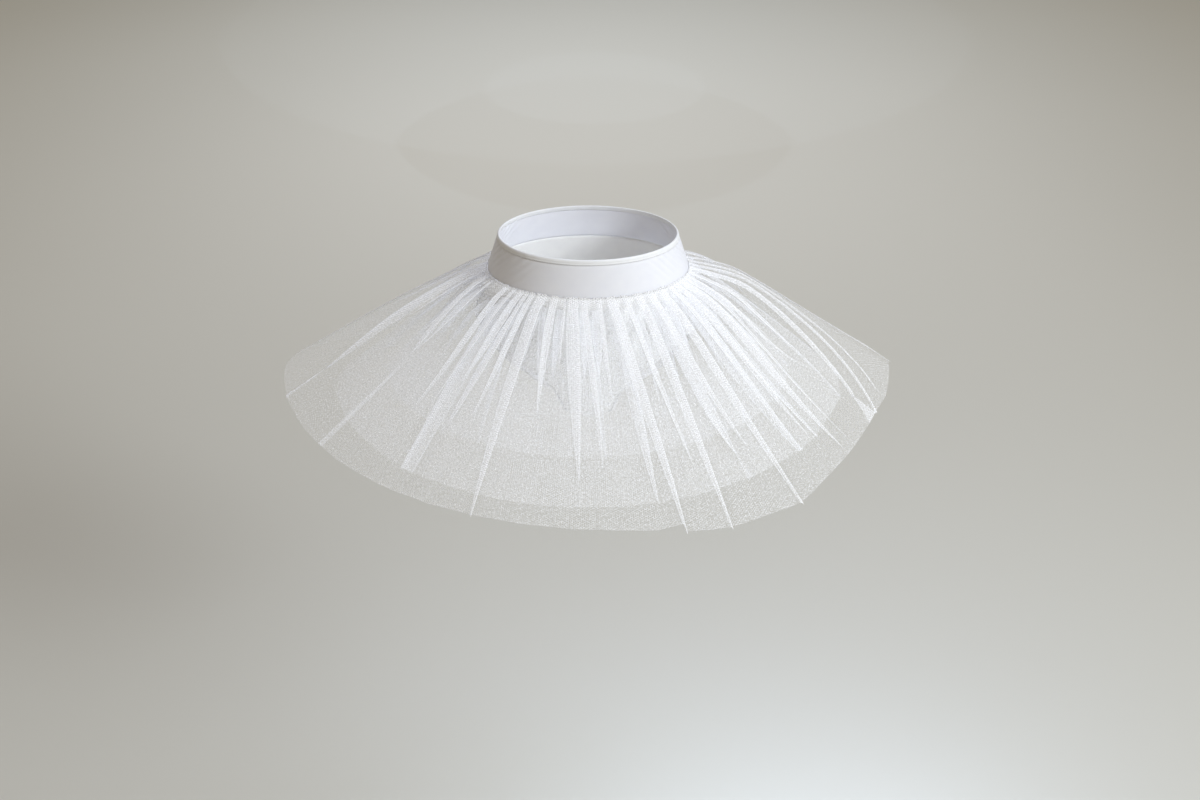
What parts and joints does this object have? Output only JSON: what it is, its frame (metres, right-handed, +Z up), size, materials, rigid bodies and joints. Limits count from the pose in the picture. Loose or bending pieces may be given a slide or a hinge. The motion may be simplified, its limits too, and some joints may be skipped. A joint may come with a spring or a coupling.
{
  "type": "ballet tutu",
  "caption": "Ballet practice tutu with a wide flared stretch waistband, a sewn-in brief and stepped layers of gathered tulle skirt, held open as it is worn.",
  "frame": {"origin": "centre of the waistband's top edge, where the wearer's waist holds it", "axes": "+Z up, -Y towards the garment's front, +X towards the viewer's right in the front view"},
  "size_m": [0.8343, 0.6833, 0.2829],
  "materials": {
    "knit": "smooth white stretch knit",
    "tulle": "sheer white net"
  },
  "bodies": {
    "root": {"waist_casing": "knit", "waistband": "knit", "brief_front": "knit", "brief_back": "knit", "brief_gusset": "knit", "leg_binding_left": "knit", "leg_binding_right": "knit", "top_skirt_front": "tulle", "top_skirt_back": "tulle", "middle_skirt_front": "tulle", "middle_skirt_back": "tulle", "lower_skirt_front": "tulle", "lower_skirt_back": "tulle"}
  },
  "joints": []
}
